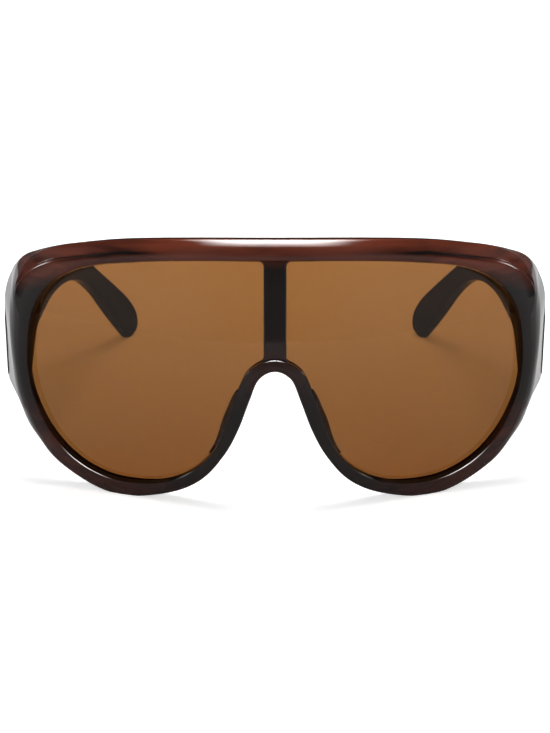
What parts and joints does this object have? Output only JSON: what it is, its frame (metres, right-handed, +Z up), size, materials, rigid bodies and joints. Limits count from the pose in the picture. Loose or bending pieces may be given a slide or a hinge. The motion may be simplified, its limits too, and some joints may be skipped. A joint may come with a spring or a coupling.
{
  "type": "oversized sunglasses",
  "caption": "Oversized wrap sunglasses with a deep brown moulded front, centre bar, curved tinted lenses, built-up nose pads and wide temples that fold on screwed hinges.",
  "frame": {"origin": "middle of the footprint on the table that the open sunglasses stand on", "axes": "+X right as seen from the front, -Y the way the front faces, +Z up"},
  "size_m": [0.1568, 0.1584, 0.0744],
  "materials": {
    "front_plastic": "polished dark brown moulding",
    "temple_plastic": "polished dark brown moulding",
    "tinted_lens": "clear brown tint, polished",
    "hinge_metal": "satin nickel",
    "screw_metal": "bright turned steel"
  },
  "bodies": {
    "front": {"front_frame": "front_plastic", "left_lens": "tinted_lens", "right_lens": "tinted_lens", "left_nose_pad": "front_plastic", "right_nose_pad": "front_plastic", "left_front_hinge_leaf": "hinge_metal", "right_front_hinge_leaf": "hinge_metal", "left_hinge_screw": "screw_metal", "right_hinge_screw": "screw_metal", "left_front_lower_fixing_screw": "screw_metal", "left_front_upper_fixing_screw": "screw_metal", "right_front_lower_fixing_screw": "screw_metal", "right_front_upper_fixing_screw": "screw_metal"},
    "left_arm": {"left_temple": "temple_plastic", "left_temple_hinge_leaf": "hinge_metal", "left_temple_lower_fixing_screw": "screw_metal", "left_temple_upper_fixing_screw": "screw_metal"},
    "right_arm": {"right_temple": "temple_plastic", "right_temple_hinge_leaf": "hinge_metal", "right_temple_lower_fixing_screw": "screw_metal", "right_temple_upper_fixing_screw": "screw_metal"}
  },
  "joints": [
    {"name": "right_temple_fold", "type": "hinge", "parent": "front", "child": "right_arm", "pos_m": [0.0688, -0.03856, 0.0487], "axis": [0, 0, 1], "range_deg": [0, 90]},
    {"name": "left_temple_fold", "type": "hinge", "parent": "front", "child": "left_arm", "pos_m": [-0.0688, -0.03856, 0.0487], "axis": [0, 0, -1], "range_deg": [0, 79]}
  ]
}
